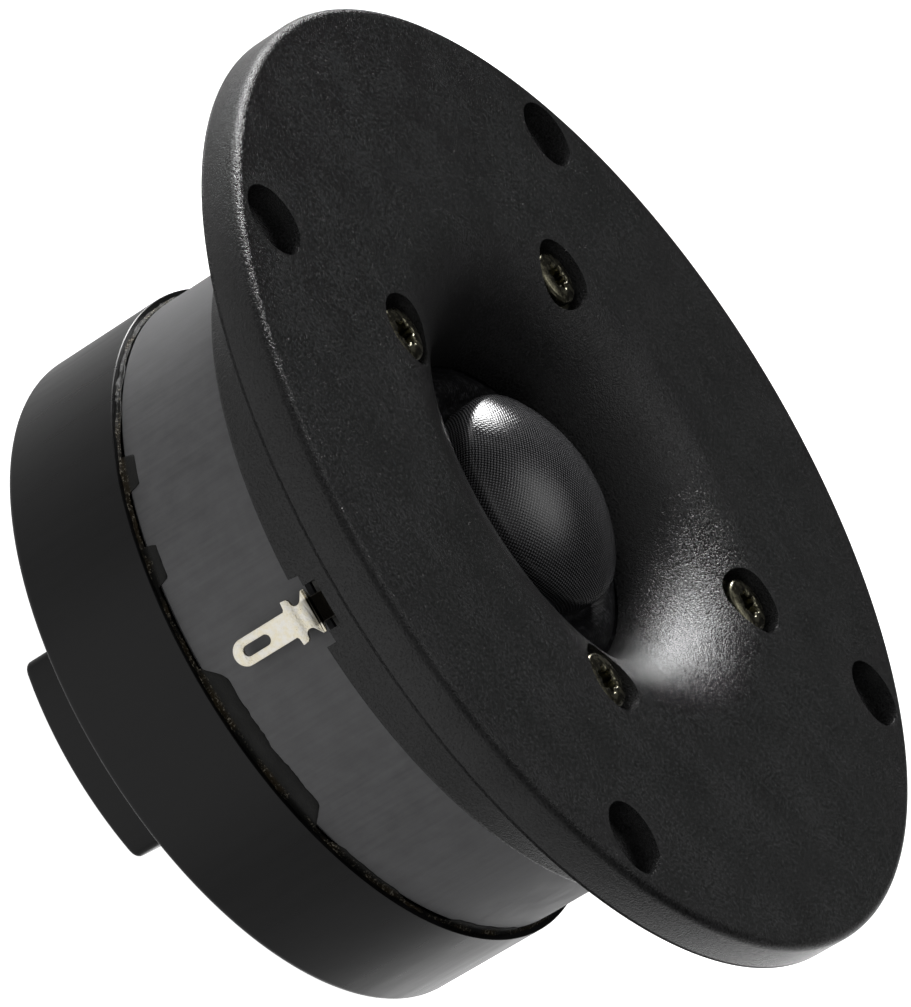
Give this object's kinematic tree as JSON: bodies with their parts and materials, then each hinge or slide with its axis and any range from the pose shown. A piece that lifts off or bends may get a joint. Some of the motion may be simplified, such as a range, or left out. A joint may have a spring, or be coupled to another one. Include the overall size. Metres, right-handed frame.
{
  "type": "car tweeter",
  "caption": "Round soft-dome tweeter: flanged front plate with a shallow horn, woven dome on a sprung voice coil, ring magnet, rear chamber cup and solder tags.",
  "frame": {"origin": "centre of the flat rear pad's face, on the tweeter's axis", "axes": "+Z along the tweeter's axis from the rear pad to the front face and the listener; the two solder tags are on -Y and +Y; the screw holes lie half way between the axes"},
  "size_m": [0.134, 0.134, 0.065],
  "materials": {
    "moulding": "fine spark-eroded texture, satin black",
    "screw": "bronze zinc plated",
    "surround_fabric": "coated fabric, soft sheen",
    "carrier": "plain moulded",
    "steel": "zinc plated",
    "ferrite": "ground grey ceramic ferrite",
    "felt": "pressed wool felt",
    "cup": "smooth satin black",
    "foam": "open-cell foam",
    "glue": "cured dark adhesive, part glossy",
    "tin": "tinned, dull silver",
    "tinsel": "braided copper tinsel",
    "dome_fabric": "woven fabric with a damping coat",
    "former_foil": "thin rolled foil",
    "coil_wire": "enamelled copper winding"
  },
  "bodies": {
    "housing": {"front_plate": "moulding", "plate_screw_1": "screw", "plate_screw_2": "screw", "plate_screw_3": "screw", "plate_screw_4": "screw", "surround": "surround_fabric", "carrier_ring": "carrier", "top_plate": "steel", "ferrite_ring": "ferrite", "back_plate": "steel", "pole_piece": "steel", "pole_felt": "felt", "rear_cup": "cup", "chamber_foam": "foam", "glue_bead": "glue", "solder_tag_a": "tin", "solder_tag_b": "tin", "tag_rivet_a": "steel", "tag_rivet_b": "steel", "lead_wire_a": "tinsel", "lead_wire_b": "tinsel"},
    "moving_coil": {"dome": "dome_fabric", "coil_former": "former_foil", "voice_coil": "coil_wire"}
  },
  "joints": [
    {"name": "dome_travel", "type": "slide", "parent": "housing", "child": "moving_coil", "axis": [0, 0, 1], "range_m": [-0.0005, 0.0005], "stiffness_N_per_m": 300, "deforming": ["surround"]}
  ]
}
